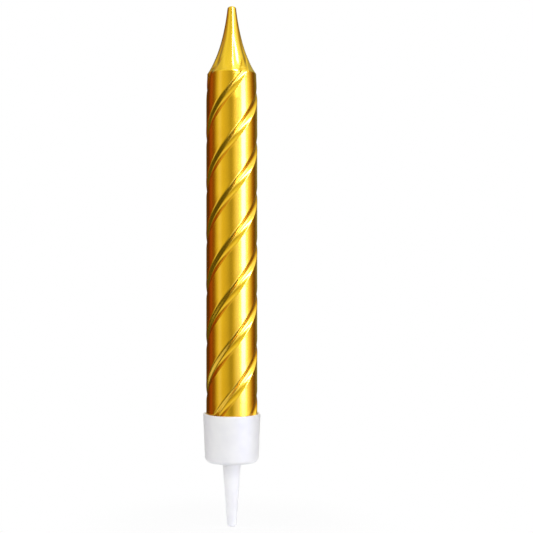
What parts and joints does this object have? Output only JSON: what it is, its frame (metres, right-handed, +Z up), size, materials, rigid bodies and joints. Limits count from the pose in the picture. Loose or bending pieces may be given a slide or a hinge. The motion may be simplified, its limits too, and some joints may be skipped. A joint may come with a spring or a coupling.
{
  "type": "birthday candle",
  "caption": "Slim cake candle with twisted grooves, a metallic coat and a drawn-out tip, standing in a plastic cup whose spike goes into the cake; the candle lifts out of the cup.",
  "frame": {"origin": "centre of the cup's underside, where the spike starts and the cup sits on the cake", "axes": "+Z up the candle's axis, -Y towards the viewer of the picture, +X to the right"},
  "size_m": [0.009, 0.009, 0.0813],
  "materials": {
    "holder_plastic": "white moulded plastic, slightly glossy",
    "wax": "pale paraffin wax, slightly translucent",
    "gold_coat": "bright gold metallic coat",
    "cotton": "undyed braided cotton"
  },
  "bodies": {
    "holder": {"candle_holder": "holder_plastic"},
    "candle": {"wax_core": "wax", "metallic_coat": "gold_coat", "wick": "cotton"}
  },
  "joints": [
    {"name": "candle_lift", "type": "slide", "parent": "holder", "child": "candle", "axis": [0, 0, 1], "range_m": [0, 0.012]}
  ]
}
